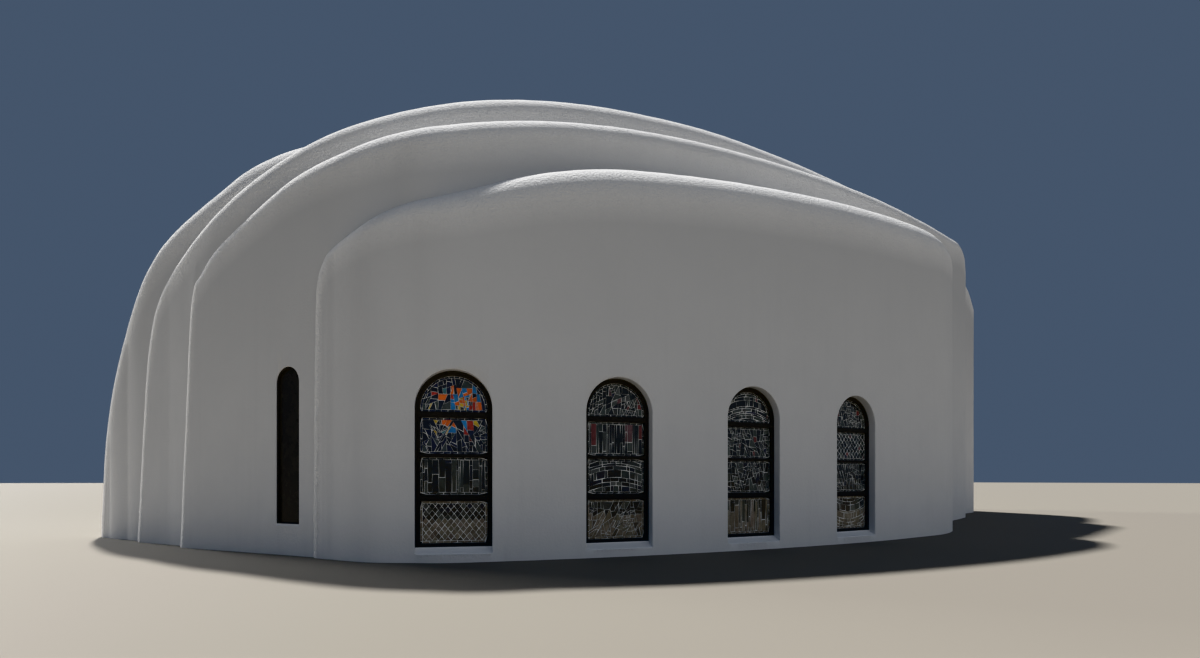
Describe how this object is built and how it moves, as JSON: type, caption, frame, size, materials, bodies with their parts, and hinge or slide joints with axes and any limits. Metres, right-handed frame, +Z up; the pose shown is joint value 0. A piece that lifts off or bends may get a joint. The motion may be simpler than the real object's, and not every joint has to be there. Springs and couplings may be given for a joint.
{
  "type": "synagogue",
  "caption": "Shell-shaped hall of nested stuccoed concrete shells with rounded rims, arched stained-glass windows and narrow slit windows.",
  "frame": {"origin": "centre of the footprint's box, on the ground", "axes": "+X along the building, +Y from the front side to the back side, +Z up"},
  "size_m": [36.4644, 23.9966, 12.6485],
  "materials": {
    "stucco": "rough sprayed white stucco on concrete",
    "concrete": "plain concrete floor",
    "dark_metal": "dark bronze paint, satin",
    "stained_glass": "dark leaded glass with coloured pieces",
    "dark_glass": "black glass"
  },
  "bodies": {
    "root": {"front_outer_wall_1": "stucco", "front_outer_wall_2": "stucco", "front_outer_wall_3": "stucco", "front_outer_wall_4": "stucco", "front_outer_wall_5": "stucco", "front_second_shell_1": "stucco", "front_second_shell_2": "stucco", "front_second_shell_3": "stucco", "front_third_shell_1": "stucco", "front_third_shell_2": "stucco", "front_window_1_frame": "dark_metal", "front_window_1_glass": "stained_glass", "front_window_2_frame": "dark_metal", "front_window_2_glass": "stained_glass", "front_window_3_frame": "dark_metal", "front_window_3_glass": "stained_glass", "front_window_4_frame": "dark_metal", "front_window_4_glass": "stained_glass", "front_slit_frame": "dark_metal", "front_slit_glass": "dark_glass", "back_outer_wall_1": "stucco", "back_outer_wall_2": "stucco", "back_outer_wall_3": "stucco", "back_outer_wall_4": "stucco", "back_outer_wall_5": "stucco", "back_second_shell_1": "stucco", "back_second_shell_2": "stucco", "back_second_shell_3": "stucco", "back_third_shell_1": "stucco", "back_third_shell_2": "stucco", "back_window_1_frame": "dark_metal", "back_window_1_glass": "stained_glass", "back_window_2_frame": "dark_metal", "back_window_2_glass": "stained_glass", "back_window_3_frame": "dark_metal", "back_window_3_glass": "stained_glass", "back_window_4_frame": "dark_metal", "back_window_4_glass": "stained_glass", "back_slit_frame": "dark_metal", "back_slit_glass": "dark_glass", "crown_shell_1": "stucco", "crown_shell_2": "stucco", "crown_shell_3": "stucco", "floor_slab": "concrete"}
  },
  "joints": []
}
